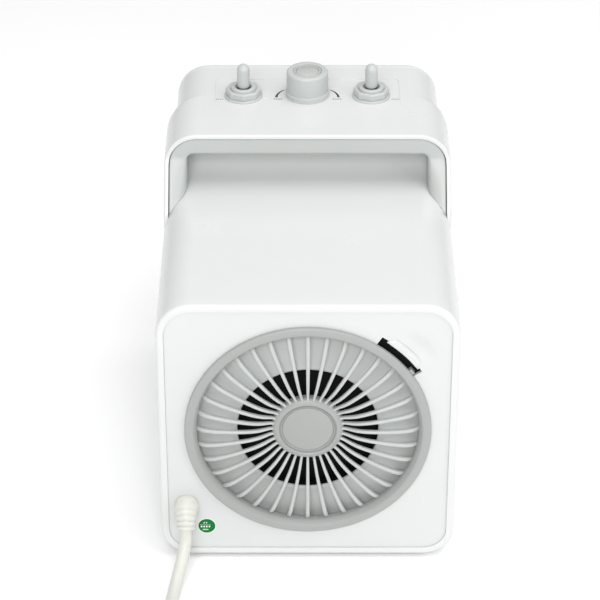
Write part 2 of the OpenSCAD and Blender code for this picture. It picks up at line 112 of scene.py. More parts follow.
# grain is the size of the surface's fine relief in mm, depth its height in mm
def plastic(name, colour, roughness, grain, depth, ior=1.5, coat=0.0, metallic=0.0, mottle=0.03):
    material = bpy.data.materials.new(name)
    material.use_nodes = True
    tree = material.node_tree
    tree.nodes.clear()
    out = addNode(tree, "ShaderNodeOutputMaterial")
    where = addNode(tree, "ShaderNodeTexCoord").outputs["Object"]
    relief = addNode(tree, "ShaderNodeTexNoise", None,
                     {"Vector": where, "Scale": 1 / (grain * mm), "Detail": 3.0, "Roughness": 0.55})
    bump = addNode(tree, "ShaderNodeBump", None,
                   {"Height": relief.outputs["Fac"], "Strength": 1.0, "Distance": depth * mm})
    cloud = addNode(tree, "ShaderNodeTexNoise", None, {"Vector": where, "Scale": 28.0, "Detail": 2.0})
    shade = addNode(tree, "ShaderNodeMapRange", None,
                    {"Value": cloud.outputs["Fac"], "To Min": 1 - mottle, "To Max": 1 + mottle * 0.4})
    tint = addNode(tree, "ShaderNodeMix", {"data_type": "RGBA", "blend_type": "MULTIPLY"}, {"Factor": 1.0})
    tint.inputs[6].default_value = linear(colour)
    tree.links.new(shade.outputs["Result"], tint.inputs[7])
    gloss = addNode(tree, "ShaderNodeMapRange", None,
                    {"Value": cloud.outputs["Fac"], "To Min": roughness * 0.88, "To Max": roughness * 1.12})
    shader = addNode(tree, "ShaderNodeBsdfPrincipled", None, {
        "Base Color": tint.outputs[2], "Roughness": gloss.outputs["Result"], "Normal": bump.outputs["Normal"],
        "IOR": ior, "Metallic": metallic, "Coat Weight": coat, "Coat Roughness": 0.08})
    tree.links.new(shader.outputs["BSDF"], out.inputs["Surface"])
    return material


# glossy injection-moulded ABS: bright, with soft long reflections and a faint orange peel
glossyAbsWhite = plastic("glossyAbsWhite", "#D6D8D7", 0.26, 9.0, 0.012, coat=0.25)
# the same ABS on the flat back panel, polished a little less
panelAbsWhite = plastic("panelAbsWhite", "#CFD2D1", 0.30, 9.0, 0.010, coat=0.15)
# satin ABS with spark-eroded grain: even mid grey, broad soft highlights
satinAbsGrey = plastic("satinAbsGrey", "#9EA19F", 0.42, 0.9, 0.012)
# the liner's grey, slightly warmer and finer
linerAbsGrey = plastic("linerAbsGrey", "#B7BBB9", 0.40, 0.9, 0.010)
# the satin grey plastic again, painted paler as painted light on the ribs, the knob and the toggles, where
# light catches them
satinGreyPaintedLight = plastic("satinGreyPaintedLight", "#B9BDBC", 0.36, 0.9, 0.010)
# paler smooth grey of the intake funnel
funnelAbsGrey = plastic("funnelAbsGrey", "#B4B7B5", 0.38, 1.2, 0.006)
# darker grey of the knob's disc, with a coarse spark-eroded finish
discAbsGrey = plastic("discAbsGrey", "#B2B5B2", 0.5, 0.7, 0.03)
# carbon-filled black plastic: matte, almost no highlight; also painted shade as the black sheets behind the
# latch slot and inside the intake opening
blackNylonAndPaintedShade = plastic("blackNylonAndPaintedShade", "#050505", 0.8, 0.8, 0.02, ior=1.3)
# dark satin grille seen at the front outlet
darkOutlet = plastic("darkOutlet", "#3A3C3D", 0.42, 0.8, 0.015)
# plasticised PVC of the lead: soft sheen, slightly warm grey
softPvc = plastic("softPvc", "#D3D4CD", 0.42, 1.5, 0.02)
# moulded rubber feet
mouldedRubber = plastic("mouldedRubber", "#1B1B1B", 0.75, 0.6, 0.04)
# zinc-plated steel of screws, motor can and brackets
zincSteel = plastic("zincSteel", "#A7AAAC", 0.32, 0.5, 0.01, metallic=1.0)
# rolled aluminium of the heat-exchange fins
rolledAluminium = plastic("rolledAluminium", "#C9CCCE", 0.3, 0.4, 0.01, metallic=1.0)
# drawn brass of the plug's pins
drawnBrass = plastic("drawnBrass", "#C9A765", 0.28, 0.4, 0.008, metallic=1.0)
# fired ceramic of the heating bars
firedCeramic = plastic("firedCeramic", "#D8D0BC", 0.7, 0.5, 0.03)
# glass-filled resin of the element's frame
filledResin = plastic("filledResin", "#A68B5E", 0.6, 0.6, 0.03)
# solder mask over glass-fibre board
solderMask = plastic("solderMask", "#0F5B2E", 0.35, 0.7, 0.02)
# gloss-laminated paper label
laminatedGreen = plastic("laminatedGreen", "#00702F", 0.5, 2.0, 0.004, ior=1.3)
labelPaper = plastic("labelPaper", "#E6EFE6", 0.4, 2.0, 0.004)
# pad-printed ink of the dial marks
printedInk = plastic("printedInk", "#26282A", 0.55, 0.4, 0.004)
print("materials made")


# mesh helpers
def makeObject(name, mesh):
    piece = bpy.data.objects.new(name, mesh)
    bpy.context.scene.collection.objects.link(piece)
    return piece


def fromFaces(name, points, faces):
    mesh = bpy.data.meshes.new(name)
    mesh.from_pydata([tuple(p) for p in points], [], faces)
    mesh.update()
    return makeObject(name, mesh)


# outward normals, smooth faces and sharp edges above the angle
def finishMesh(piece, sharpAngle=32.0, merge=1e-6):
    work = bmesh.new()
    work.from_mesh(piece.data)
    bmesh.ops.remove_doubles(work, verts=work.verts, dist=merge)
    bmesh.ops.recalc_face_normals(work, faces=work.faces)
    limit = math.radians(sharpAngle)
    for face in work.faces:
        face.smooth = True
    for edge in work.edges:
        edge.smooth = len(edge.link_faces) == 2 and edge.calc_face_angle(0) < limit
    work.to_mesh(piece.data)
    work.free()
    return piece


def joined(name, pieces):
    work = bmesh.new()
    for piece in pieces:
        work.from_mesh(piece.data)
        bpy.data.objects.remove(piece)
    mesh = bpy.data.meshes.new(name)
    work.to_mesh(mesh)
    work.free()
    return makeObject(name, mesh)


def carve(piece, cutter, operation="DIFFERENCE"):
    modifier = piece.modifiers.new("carve", "BOOLEAN")
    modifier.operation = operation
    modifier.solver = "EXACT"
    modifier.object = cutter
    applyModifiers(piece)
    bpy.data.objects.remove(cutter)
    return piece


def applyModifiers(piece):
    bpy.context.view_layer.update()
    graph = bpy.context.evaluated_depsgraph_get()
    mesh = bpy.data.meshes.new_from_object(piece.evaluated_get(graph))
    piece.modifiers.clear()
    piece.data = mesh
    return piece


def arcPoints(cx, cy, radius, start, end, steps):
    return [(cx + radius * math.cos(math.radians(start + (end - start) * i / steps)),
             cy + radius * math.sin(math.radians(start + (end - start) * i / steps)))
            for i in range(steps + 1)]


# closed rounded rectangle in X and Z, counted anticlockwise from the right of the floor
def roundedSection(halfX, low, high, topRadius, lowRadius, steps=14):
    return (arcPoints(halfX - lowRadius, low + lowRadius, lowRadius, -90, 0, steps)
            + arcPoints(halfX - topRadius, high - topRadius, topRadius, 0, 90, steps)
            + arcPoints(-halfX + topRadius, high - topRadius, topRadius, 90, 180, steps)
            + arcPoints(-halfX + lowRadius, low + lowRadius, lowRadius, 180, 270, steps))


# inverted U over the body's shoulders, from the right foot to the left
def archSection(halfX, foot, high, radius, steps=14, legSteps=14):
    legTop = high - radius
    leg = [foot + (legTop - foot) * i / legSteps for i in range(legSteps)]
    return ([(halfX, z) for z in leg] + arcPoints(halfX - radius, high - radius, radius, 0, 90, steps)
            + arcPoints(-halfX + radius, high - radius, radius, 90, 180, steps)
            + [(-halfX, z) for z in reversed(leg)])


# skins a row of sections, each (y, points); closedPath joins the last to the first
def loft(name, rows, closedSection=True, closedPath=False, caps=False):
    count = len(rows[0][1])
    points = [(x, y, z) for y, row in rows for x, z in row]
    faces = []
    for i in range(len(rows) if closedPath else len(rows) - 1):
        a, b = i * count, ((i + 1) % len(rows)) * count
        for k in range(count if closedSection else count - 1):
            n = (k + 1) % count
            faces.append((a + k, a + n, b + n, b + k))
    if caps and closedSection:
        faces.append(tuple(range(count)))
        faces.append(tuple(reversed(range((len(rows) - 1) * count, len(rows) * count))))
    if caps and not closedSection:
        faces.append(tuple(i * count for i in range(len(rows))))
        faces.append(tuple(i * count + count - 1 for i in range(len(rows))))
    return fromFaces(name, points, faces)


# points given in mm from a corner that is in metres
def fromCorner(across, along, pairs):
    return [(across + a * mm, along + b * mm) for a, b in pairs]


# turns a profile of (radius, y) about the fore-and-aft axis at height z
def latheY(name, profile, z, steps=192, x=0.0, closed=True):
    points, faces, count = [], [], len(profile)
    for i in range(steps):
        angle = 2 * math.pi * i / steps
        points += [(x + r * math.sin(angle), y, z + r * math.cos(angle)) for r, y in profile]
    for i in range(steps):
        a, b = i * count, ((i + 1) % steps) * count
        for k in range(count if closed else count - 1):
            n = (k + 1) % count
            faces.append((a + k, a + n, b + n, b + k))
    return finishMesh(fromFaces(name, points, faces))


# the same about an upright axis, from (radius, z)
def latheZ(name, profile, x, y, steps=128):
    piece = latheY(name, [(r, z) for r, z in profile], 0, steps)
    piece.data.transform(Matrix.Translation((x, y, 0)) @ Matrix.Rotation(math.radians(90), 4, "X"))
    return finishMesh(piece)


def setMaterial(piece, material):
    piece.data.materials.clear()
    piece.data.materials.append(material)
    return piece


def use(piece, material, body="root", replaces=None):
    setMaterial(piece, material)
    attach(piece, body)
    if replaces:
        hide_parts(*replaces)
    return piece


# annular sector about the grille's axis; angles from the top towards +X
def sector(name, inner, outer, start, end, y0, y1, steps=40):
    rings = []
    for radius, y in ((inner, y0), (outer, y0), (outer, y1), (inner, y1)):
        ring = []
        for i in range(steps + 1):
            a = math.radians(start + (end - start) * i / steps)
            ring.append((radius * math.sin(a), y, grilleZ + radius * math.cos(a)))
        rings.append(ring)
    points = [p for ring in rings for p in ring]
    n = steps + 1
    faces = [(k * n + i, k * n + i + 1, ((k + 1) % 4) * n + i + 1, ((k + 1) % 4) * n + i)
             for k in range(4) for i in range(steps)]
    faces += [tuple(k * n for k in range(4)), tuple(k * n + steps for k in (3, 2, 1, 0))]
    return finishMesh(fromFaces(name, points, faces))


# cord
cordSetup = {
    "diameter": 8.0 * mm,
    "coilCentre": (-45 * mm, -296.7 * mm),
    "outerTurn": 50.1 * mm,
    "innerTurn": 41.9 * mm,
}
# the free run from the strain relief to the coil, and the lead from the coil to the plug
freeRun = [(-78.5, -139.7, 34.4), (-78.8, -142, 26.2), (-80.2, -146.5, 18.7), (-82, -152, 13),
           (-83.8, -158.6, 8.6), (-85.4, -166.6, 5.4), (-86.9, -176.4, 4.1), (-88.6, -191.5, 4.1),
           (-90.6, -209.5, 4.1), (-92.4, -229.5, 4.1), (-94, -251.5, 4.1), (-94.9, -272.5, 4.1),
           (-95.1, -292.7, 4.1)]
plugLead = [(5.1, -288.7, 19.6), (6, -276.7, 16.6), (7, -264.7, 12.4), (8, -254.7, 9.6), (9, -247.7, 8.8)]


# turns lie beside and on each other: outer, inner, inner, outer, outer, inner layer by layer
def coilPoints(setup, perTurn=24):
    cx, cy = setup["coilCentre"]
    d = setup["diameter"]
    lanes = [(setup["outerTurn"], 0), (setup["innerTurn"], 0), (setup["innerTurn"], 1),
             (setup["outerTurn"], 1), (setup["outerTurn"], 2)]
    points = []
    total = len(lanes) * perTurn + perTurn // 2
    for i in range(total + 1):
        turn, part = divmod(i, perTurn)
        lane = lanes[min(turn, len(lanes) - 1)]
        after = lanes[min(turn + 1, len(lanes) - 1)]
        blend = max(0.0, (part / perTurn - 0.72) / 0.28)
        blend = blend * blend * (3 - 2 * blend)
        radius = lane[0] + (after[0] - lane[0]) * blend
        layer = lane[1] + (after[1] - lane[1]) * blend
        angle = math.pi + 2 * math.pi * i / perTurn
        points.append((cx + radius * math.cos(angle), cy + radius * math.sin(angle), 4.1 * mm + layer * d))
    return points


def smoothPath(points, spacing=2.0 * mm):
    path = []
    for i in range(len(points) - 1):
        p0 = Vector(points[max(i - 1, 0)])
        p1, p2 = Vector(points[i]), Vector(points[i + 1])
        p3 = Vector(points[min(i + 2, len(points) - 1)])
        steps = max(1, round((p2 - p1).length / spacing))
        for k in range(steps):
            t = k / steps
            path.append(0.5 * (2 * p1 + (p2 - p0) * t + (2 * p0 - 5 * p1 + 4 * p2 - p3) * t * t
                               + (3 * p1 - p0 - 3 * p2 + p3) * t ** 3))
    path.append(Vector(points[-1]))
    return path


# round tube along a path, with a steady frame so that it doesn't twist
def tubeAlong(name, path, radius, sides=20):
    side = Vector((1, 0, 0))
    points, faces = [], []
    for i, p in enumerate(path):
        ahead = (path[min(i + 1, len(path) - 1)] - path[max(i - 1, 0)]).normalized()
        side = (side - ahead * side.dot(ahead)).normalized()
        other = ahead.cross(side)
        r = radius(i / (len(path) - 1)) if callable(radius) else radius
        points += [p + (side * math.cos(2 * math.pi * k / sides)
                        + other * math.sin(2 * math.pi * k / sides)) * r for k in range(sides)]
    for i in range(len(path) - 1):
        for k in range(sides):
            n = (k + 1) % sides
            faces.append((i * sides + k, i * sides + n, (i + 1) * sides + n, (i + 1) * sides + k))
    faces.append(tuple(reversed(range(sides))))
    faces.append(tuple(range((len(path) - 1) * sides, len(path) * sides)))
    return finishMesh(fromFaces(name, points, faces), 50)


cordPoints = [Vector(p) * mm for p in freeRun] + [Vector(p) for p in coilPoints(cordSetup)][1:] \
    + [Vector(p) * mm for p in plugLead]
cordPath = smoothPath(cordPoints)


# strain relief
relief = {"x": -78.5 * mm, "z": 42.3 * mm, "droop": 20.0, "bend": 58.0, "length": 14.4 * mm, "ribs": 4}


def buildRelief():
    x, z0 = relief["x"], relief["z"]
    dome = [(axisGap, -7.0), (4.5, -6.9), (6.2, -6.2), (7.4, -4.6), (7.9, -2.2), (8.1, -0.6), (7.9, -0.1),
            (axisGap, -0.1)]
    cap = latheY("gland", fromCorner(0, panelY, dome), z0, 64, x)
    startY = panelY - 3.6 * mm
    # it leaves the gland slightly drooped and bends on down to the lead
    steps = 80
    path = [Vector((x, startY, z0))]
    for k in range(steps):
        a = math.radians(relief["droop"] + (relief["bend"] - relief["droop"]) * k / steps)
        path.append(path[-1] - Vector((0, math.cos(a), math.sin(a))) * relief["length"] / steps)
    first, last = 0.06, 0.9

    # each ridge rises slowly and drops sharply, like stacked collars
    def radius(t):
        size = 8.0 - 2.3 * t
        if first < t < last:
            size -= 0.95 * ((t - first) / (last - first) * relief["ribs"] % 1.0) ** 2
        return size * mm
    sleeve = tubeAlong("sleeve", path, radius, 32)
    return finishMesh(joined("strainRelief", [cap, sleeve]), 40)


strainRelief = buildRelief()
use(strainRelief, softPvc, "root", ["strain_relief"])


# plug
def buildPlug():
    low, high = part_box("plug_body")
    cx, cz = (low.x + high.x) / 2, (low.z + high.z) / 2
    rows = []
    ends = [(low.y, 0.2, 4.4, 4.4), (low.y, 3, 5.2, 5.0), (low.y, 6, 8.4, 6.6), (low.y, 9, 10.6, 7.8),
            (low.y, 16, 11.6, 8.3), (low.y, 26, 11.6, 8.3), (high.y, -4, 11.0, 8.1), (high.y, -1.0, 10.6, 7.9),
            (high.y, -0.2, 10.0, 7.4)]
    for end, along, halfX, halfZ in ends:
        y = end + along * mm
        hx, hz = halfX * mm, halfZ * mm
        rows.append((y, [(cx + px, pz) for px, pz in roundedSection(hx, cz - hz, cz + hz, min(hx, hz) * 0.8,
                                                                    min(hx, hz) * 0.8, 8)]))
    return finishMesh(loft("plugBody", rows, caps=True), 50)


plugBody = buildPlug()
use(plugBody, softPvc, "root", ["plug_body"])
setMaterial(nodes["plug_pins"], drawnBrass)
setMaterial(nodes["coil_tie"], blackNylonAndPaintedShade)


cord = tubeAlong("mainsCord", cordPath, cordSetup["diameter"] / 2, 14)
use(cord, softPvc, "root", ["cord", "cord_coil"])


# main housing
housing = {"corner": 22 * mm, "lowCorner": 20 * mm, "wall": 2.6 * mm, "lip": 4.8 * mm, "rimRound": 2.0 * mm,
           "lipRound": 0.16 * mm}


def housingSection(inset):
    return roundedSection(halfWidth - inset, floorToBody + inset, bodyTop - inset,
                          housing["corner"] - inset, housing["lowCorner"] - inset)


def buildHousing():
    lip, wall, rim, edge = housing["lip"], housing["wall"], housing["rimRound"], housing["lipRound"]
    endY = housingHigh.y
    path = [(wall, endY), (wall, rearY + 5 * mm), (lip, rearY + 4.6 * mm), (lip, rearY + edge)]
    path += [(lip - edge + edge * math.cos(a), rearY + edge - edge * math.sin(a))
             for a in (math.pi / 8 * k for k in range(1, 5))]
    path += [(rim - rim * math.sin(a), rearY + rim - rim * math.cos(a))
             for a in (math.pi / 16 * k for k in range(9))]
    path += [(0, rearY + 12 * mm), (0, endY)]
    rows = [(y, housingSection(inset)) for inset, y in path]
    return finishMesh(loft("rearHousing", rows, closedPath=True))


use(buildHousing(), glossyAbsWhite, "root", ["rear_housing"])
print("housing built")


# front shell with the handle
shell = {"skin": 3.0 * mm, "corner": 22 * mm, "rearRound": 1.3 * mm, "narrowing": 5.5 * mm,
         "shoulder": 10.5 * mm, "frontCorner": 22 * mm, "frontLowCorner": 20 * mm, "wall": 2.6 * mm,
         "sweep": 24 * mm, "sweepTop": 216 * mm, "sweepFoot": 186 * mm, "bandEnd": housingHigh.y,
         "recessWall": linerHigh.y, "deckPanelDepth": 0.6 * mm, "fillet": 22 * mm}


# height at which an upright at this inset meets the body's rounded shoulder
def footHeight(inset):
    r = housing["corner"]
    return bodyTop - r + math.sqrt(max(0.0, r * r - (r - inset) ** 2))


# the legs sweep back to their feet on the body's shoulder; rounding in plan fades the sweep towards the gap
def sweepLegs(piece, fadeLength, startInset=None, width=None):
    for vertex in piece.data.vertices:
        x, y, z = vertex.co
        if z < shell["sweepTop"]:
            t = min((shell["sweepTop"] - z) / (shell["sweepTop"] - shell["sweepFoot"]), 1.0)
            near = max(0.0, min(1.0, 1 - (y - strapRearY) / fadeLength))
            amount = shell["sweep"] * t ** 1.1 * near
            if width:
                across = min(1.0, max(0.0, (halfWidth - abs(x) - startInset) / width))
                amount *= math.sqrt(max(0.0, 1 - across * across))
            vertex.co.y -= amount
    return piece


# outline of the control panel or of its recess, counted anticlockwise
def deckOutline(gap, r):
    halfX, y0, y1 = deckPanelHigh.x - gap, deckPanelLow.y + gap, deckPanelHigh.y - gap
    return (arcPoints(halfX - r, y0 + r, r, -90, 0, 6) + arcPoints(halfX - r, y1 - r, r, 0, 90, 6)
            + arcPoints(-halfX + r, y1 - r, r, 90, 180, 6) + arcPoints(-halfX + r, y0 + r, r, 180, 270, 6))


def deckCutter(depthBelow):
    outline = deckOutline(0, 2.5 * mm)
    points = [(x, y, z) for z in (deckTop - depthBelow, deckTop + 5 * mm) for x, y in outline]
    n = len(outline)
    faces = [(k, (k + 1) % n, n + (k + 1) % n, n + k) for k in range(n)]
    faces += [tuple(reversed(range(n))), tuple(range(n, 2 * n))]
    return finishMesh(fromFaces("deckCutter", points, faces))


def buildStrap():
    r, skin, turn = shell["corner"], shell["skin"], shell["rearRound"]
    shoulderStart = shell["bandEnd"] - shell["shoulder"]
    path = []
    # narrowing at the front end, outer side
    for k in range(9):
        a = math.pi / 2 * (1 - k / 8)
        path.append((shell["narrowing"] * (1 - math.cos(a)), 0.0,
                     shoulderStart + shell["shoulder"] * math.sin(a)))
    path.append((0.0, 0.0, strapRearY + 12 * mm))
    path += [(turn - turn * math.cos(a), turn - turn * math.cos(a), strapRearY + turn - turn * math.sin(a))
             for a in (math.pi / 12 * k for k in range(7))]
    path += [(skin - 0.35 * mm, skin - 0.35 * mm, strapRearY), (skin, skin, strapRearY + 0.4 * mm)]
    path += [(skin, skin, strapRearY + 12 * mm), (skin, skin, shell["bandEnd"] - 12 * mm)]
    path.append((shell["narrowing"] + 1 * mm, skin, shell["bandEnd"] - 1 * mm))
    rows = []
    for dx, dz, y in path:
        halfX = halfWidth - dx
        rows.append((y, archSection(halfX, footHeight(dx), deckTop - dz, max(r - max(dx, dz), 3 * mm))))
    strap = loft("strap", rows, closedSection=False, closedPath=True, caps=True)
    sweepLegs(strap, 40 * mm)
    return finishMesh(strap)


def buildFront():
    r, low, wall = shell["frontCorner"], shell["frontLowCorner"], shell["wall"]
    halfX = bezelHigh.x
    rows = []
    y0, y1 = shell["bandEnd"] - 2 * mm, bezelLow.y - 0.15 * mm
    sunk = 0.4 * mm
    for inset, y in ((wall, y0), (wall, y1), (0.3 * mm, y1), (0, y1 - 0.3 * mm), (0, shell["bandEnd"]),
                     (sunk, shell["bandEnd"] - 0.02 * mm), (sunk, y0)):
        rows.append((y, roundedSection(halfX - inset, floorToBody + inset, deckTop - inset, r - inset,
                                       low - inset)))
    return finishMesh(loft("front", rows, closedPath=True))


# finger recess: its back wall turns through a wide fillet into the body's top, behind the legs on both sides
def buildRecess():
    halfX = halfWidth - shell["skin"] - 6 * mm
    wallY, fillet = shell["recessWall"] + 0.6 * mm, shell["fillet"]
    base, top = bodyTop + 0.03 * mm, deckTop - shell["skin"] - 4 * mm
    profile = [(wallY, top), (wallY, base + fillet)]
    profile += [(wallY - fillet * (1 - math.cos(a)), base + fillet * (1 - math.sin(a)))
                for a in (math.pi / 2 * k / 16 for k in range(1, 17))]
    profile += [(wallY - fillet, base - 0.6 * mm), (wallY + 1.2 * mm, base - 0.6 * mm), (wallY + 1.2 * mm, top)]
    n, columns = len(profile), 64
    points = []
    for i in range(columns + 1):
        x = -halfX + 2 * halfX * i / columns
        # beyond the flat top the foot of the wall sinks with the rounded shoulder
        drop = footHeight(min(housing["corner"], halfWidth - abs(x))) - bodyTop
        points += [(x, y, z + drop * min(1.0, max(0.0, (top - z) / (top - base)))) for y, z in profile]
    faces = [(i * n + k, (i + 1) * n + k, (i + 1) * n + (k + 1) % n, i * n + (k + 1) % n)
             for i in range(columns) for k in range(n)]
    faces += [tuple(range(n)), tuple(reversed(range(columns * n, (columns + 1) * n)))]
    return finishMesh(fromFaces("recess", points, faces), 50)


strap = carve(buildStrap(), deckCutter(shell["deckPanelDepth"]))
front = carve(buildFront(), deckCutter(shell["deckPanelDepth"]))
frontShell = finishMesh(joined("frontShell", [strap, front, buildRecess()]), 32)
# the large flat faces decide the shading beside their rounded edges
weighted = frontShell.modifiers.new("weighted", "WEIGHTED_NORMAL")
weighted.keep_sharp = True
applyModifiers(frontShell)
use(frontShell, glossyAbsWhite, "root", ["front_shell"])
print("front shell built")


# liner
liner = {"gap": 0.45 * mm, "thickness": 12 * mm, "back": 1.0 * mm, "round": 2.2 * mm, "innerCorner": 4.5 * mm,
         "footGap": 0.4 * mm}


def buildLiner():
    outer = shell["skin"] + liner["gap"]
    inner = shell["skin"] + liner["thickness"]
    y0 = strapRearY + liner["back"]
    turn = liner["round"]
    path = [(outer, shell["recessWall"]), (outer, y0 + 0.8 * mm), (outer + 0.3 * mm, y0 + 0.15 * mm),
            (outer + 0.9 * mm, y0), (outer + 3 * mm, y0 - 0.1 * mm), (inner - turn - 2 * mm, y0)]
    path += [(inner - turn + turn * math.sin(a), y0 + turn - turn * math.cos(a))
             for a in (math.pi / 12 * k for k in range(7))]
    path += [(inner, y0 + 10 * mm), (inner, shell["recessWall"])]
    rows = []
    outerR = shell["corner"] - outer
    for inset, y in path:
        t = (inset - outer) / (inner - outer)
        radius = outerR + (liner["innerCorner"] - outerR) * t
        rows.append((y, archSection(halfWidth - inset, footHeight(inset) + liner["footGap"], deckTop - inset,
                                    radius)))
    piece = loft("handleLiner", rows, closedSection=False, closedPath=True, caps=True)
    sweepLegs(piece, 30 * mm, 3.5 * mm, 12 * mm)
    return finishMesh(piece)


use(buildLiner(), linerAbsGrey, "root", ["handle_liner"])


# rear panel
panel = {"inset": 4.86 * mm, "hole": 76.0 * mm, "thick": 2.5 * mm, "edge": 0.16 * mm,
         "slotInner": 78.0 * mm, "slotOuter": 84.6 * mm, "slotStart": 33.2, "slotEnd": 57.8,
         "windowOuter": 88.1 * mm, "windowStart": 42, "windowEnd": 50,
         "scoopRadius": 94 * mm, "scoopAngle": 47.0, "scoopDepth": 1.4 * mm, "scoopSpread": 11.0,
         "scoopReach": 8 * mm}


def panelBoundary(inset, count):
    section = roundedSection(halfWidth - inset, floorToBody + inset, bodyTop - inset,
                             housing["corner"] - inset, housing["lowCorner"] - inset, 24)
    tree = []
    for i in range(count):
        angle = 2 * math.pi * i / count
        dx, dz = math.sin(angle), math.cos(angle)
        best = None
        for k in range(len(section)):
            (ax, az), (bx, bz) = section[k], section[(k + 1) % len(section)]
            az, bz = az - grilleZ, bz - grilleZ
            det = (bx - ax) * dz - (bz - az) * dx
            if abs(det) < 1e-14:
                continue
            s = (ax * (bz - az) - az * (bx - ax)) / (dx * (bz - az) - dz * (bx - ax))
            u = ((s * dx - ax) * (bx - ax) + (s * dz - az) * (bz - az)) / ((bx - ax) ** 2 + (bz - az) ** 2)
            if s > 0 and -1e-6 <= u <= 1 + 1e-6 and (best is None or s > best):
                best = s
        tree.append(best)
    return tree


def buildPanel():
    count = 288
    reach = panelBoundary(panel["inset"], count)
    # share of the way from hole to edge, and depth behind the face
    spans = [(0.0, panel["thick"]), (0.0, panel["edge"]), (0.004, 0.0)] \
        + [(0.004 + 0.98 * k / 22, 0.0) for k in range(1, 23)] + [(1.0, panel["edge"]), (1.0, panel["thick"])]
    points, faces, n = [], [], len(spans)
    for i in range(count):
        angle = 2 * math.pi * i / count
        dx, dz = math.sin(angle), math.cos(angle)
        for share, deep in spans:
            r = panel["hole"] + (reach[i] - panel["hole"]) * share
            # shallow finger scoop beyond the latch
            away = math.hypot((math.degrees(angle) - panel["scoopAngle"]) / panel["scoopSpread"],
                              (r - panel["scoopRadius"]) / panel["scoopReach"])
            scoop = panel["scoopDepth"] * max(0.0, 1 - away * away) ** 1.5
            points.append((r * dx, panelY + deep + scoop, grilleZ + r * dz))
    for i in range(count):
        a, b = i * n, ((i + 1) % count) * n
        for k in range(n):
            m = (k + 1) % n
            faces.append((a + k, a + m, b + m, b + k))
    plate = finishMesh(fromFaces("rearPanel", points, faces), 40)
    slot = sector("slot", panel["slotInner"] - 3 * mm, panel["slotOuter"], panel["slotStart"], panel["slotEnd"],
                  panelY - 3 * mm, panelY + 6 * mm)
    # the latch's stem slides outwards in its own window, under the tab
    window = sector("window", panel["slotOuter"] - 1 * mm, panel["windowOuter"],
                    panel["windowStart"], panel["windowEnd"], panelY - 3 * mm, panelY + 6 * mm, 8)
    return finishMesh(carve(carve(plate, slot), window), 32)


rearPanel = buildPanel()
use(rearPanel, panelAbsWhite, "root", ["rear_panel"])
# black sheet behind the latch slot: painted shade where the slot looks into the heater
slotShadeSheet = sector("slotShadeSheet", 76.5 * mm, 89 * mm, 31, 60, panelY + 2.6 * mm, panelY + 3.4 * mm)
use(slotShadeSheet, blackNylonAndPaintedShade, "root", None)
print("rear panel built")


# rear grille
grille = {"ringOuter": 78.5 * mm, "ringFace": 72.9 * mm, "ringInner": 70.8 * mm, "ribs": 36, "hub": 23.0 * mm,
          "groove": 17.6 * mm, "lip": 1.8 * mm, "lugInner": 76 * mm, "lugOuter": 80.3 * mm,
          "lugStart": 53.7, "lugEnd": 56.4}
# crest of a rib: radius, depth behind the ring's face, width and depth of the blade, in mm
ribCrest = [(20.5, 4.9, 1.7, 2.0), (24, 4.5, 1.75, 2.2), (27, 3.2, 1.85, 2.4), (30, 1.9, 1.95, 2.6),
            (34, 0.8, 2.05, 2.6), (40, 0.15, 2.2, 2.5), (48, 0.0, 2.35, 2.5), (55, 0.25, 2.5, 2.5),
            (60, 0.75, 2.6, 2.6), (64, 1.5, 2.7, 2.7), (67, 2.6, 2.8, 2.8), (69, 3.8, 2.85, 2.6),
            (70.5, 5.0, 2.9, 2.4), (71.5, 5.8, 2.9, 2.0)]


def buildRing():
    y0, y1 = rearY - grille["lip"], panelY - 0.1 * mm
    ro, rf, ri = grille["ringOuter"], grille["ringFace"], grille["ringInner"]
    profile = [(ro, y1), (ro, y0 + 1.2 * mm)]
    profile += [(ro - 1.2 * mm + 1.2 * mm * math.cos(a), y0 + 1.2 * mm - 1.2 * mm * math.sin(a))
                for a in (math.pi / 10 * k for k in range(1, 5))]
    profile += [(ro - 1.4 * mm, y0)] + fromCorner(rf, y0, [(0.7, 0), (0.2, 0.15), (-0.2, 0.6)])
    profile += fromCorner(ri, y0, [(0.4, 3.0), (0, 4.2), (0, 7.4), (2.3, 7.4)]) + [(ri + 2.3 * mm, y1)]
    return latheY("grilleRing", profile, grilleZ, 256)


def buildHub():
    y0 = hubLow.y - 0.5 * mm
    r, g = grille["hub"], grille["groove"]
    profile = [(axisGap * mm, y0 + 1.6 * mm)]
    profile += fromCorner(g, y0, [(-1.4, 1.5), (-1.0, 0.75), (-0.55, 0.75), (-0.25, 1.5), (0.35, 1.5),
                                  (0.7, 0.4), (1.3, 0.02)])
    profile += fromCorner(r, y0, [(-2.6, 0.25), (-1.2, 1.0), (-0.35, 2.2), (0, 3.6), (0, 6.0)])
    profile.append((axisGap * mm, y0 + 6.0 * mm))
    return latheY("grilleHub", profile, grilleZ, 192)


# one rib: a blade that climbs out of the ring's inner wall, crowns and dips to the hub
def buildRib():
    face = rearY - grille["lip"]
    points, faces = [], []
    rows = smoothRows(ribCrest, 3)
    for r, depth, width, tall in rows:
        w, top = width / 2, depth
        for x, y in ((-w * 0.8, top + tall), (-w, top + 0.75), (-w * 0.8, top + 0.22), (-w * 0.35, top),
                     (w * 0.35, top), (w * 0.8, top + 0.22), (w, top + 0.75), (w * 0.8, top + tall)):
            points.append((x * mm, face + y * mm, grilleZ + r * mm))
    n = 8
    for i in range(len(rows) - 1):
        for k in range(n):
            m = (k + 1) % n
            faces.append((i * n + k, i * n + m, (i + 1) * n + m, (i + 1) * n + k))
    faces.append(tuple(range(n)))
    faces.append(tuple(reversed(range((len(rows) - 1) * n, len(rows) * n))))
    return finishMesh(fromFaces("ribs", points, faces), 50)


